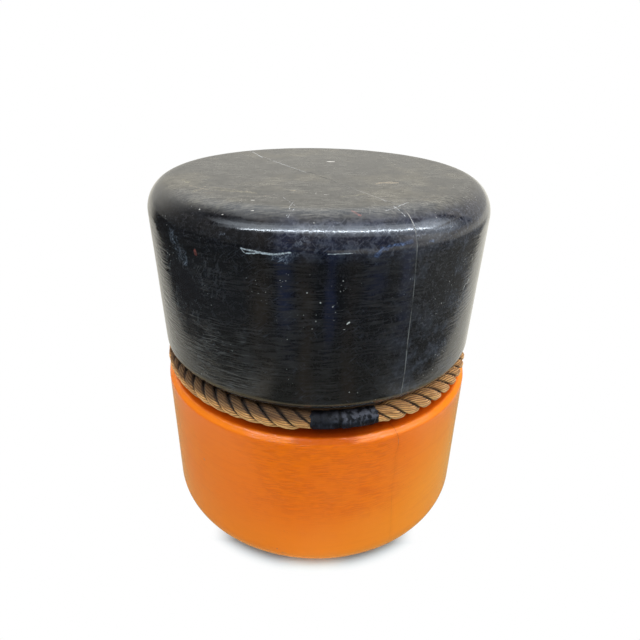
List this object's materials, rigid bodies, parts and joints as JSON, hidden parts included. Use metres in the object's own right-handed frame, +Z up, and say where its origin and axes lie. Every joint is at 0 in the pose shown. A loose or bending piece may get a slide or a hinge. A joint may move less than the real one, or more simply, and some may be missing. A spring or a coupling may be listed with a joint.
{
  "type": "fishing float",
  "caption": "Spool-shaped fishing float: a black upper drum and an orange lower drum with a laid rope strop, taped at its joint, round the waist. It stands on its flat base.",
  "frame": {"origin": "on the float's axis, at the flat base", "axes": "+Z up along the axis from the orange drum to the black one; -Y is the front, where the tape is"},
  "size_m": [0.38, 0.38, 0.419],
  "materials": {
    "black_paint": "glossy black paint, rippled and scuffed",
    "orange_paint": "glossy orange paint, fine cracks at the joint",
    "bare_wood": "bare, dull",
    "rope_fibre": "laid natural fibre, dull",
    "black_tape": "wrinkled adhesive tape, half gloss"
  },
  "bodies": {
    "root": {"upper_left_block": "black_paint", "upper_right_block": "black_paint", "lower_left_block": "orange_paint", "lower_right_block": "orange_paint", "waist_disc": "bare_wood", "strop_strand_1": "rope_fibre", "strop_strand_2": "rope_fibre", "strop_strand_3": "rope_fibre", "joint_tape_left": "black_tape", "joint_tape_right": "black_tape"}
  },
  "joints": []
}
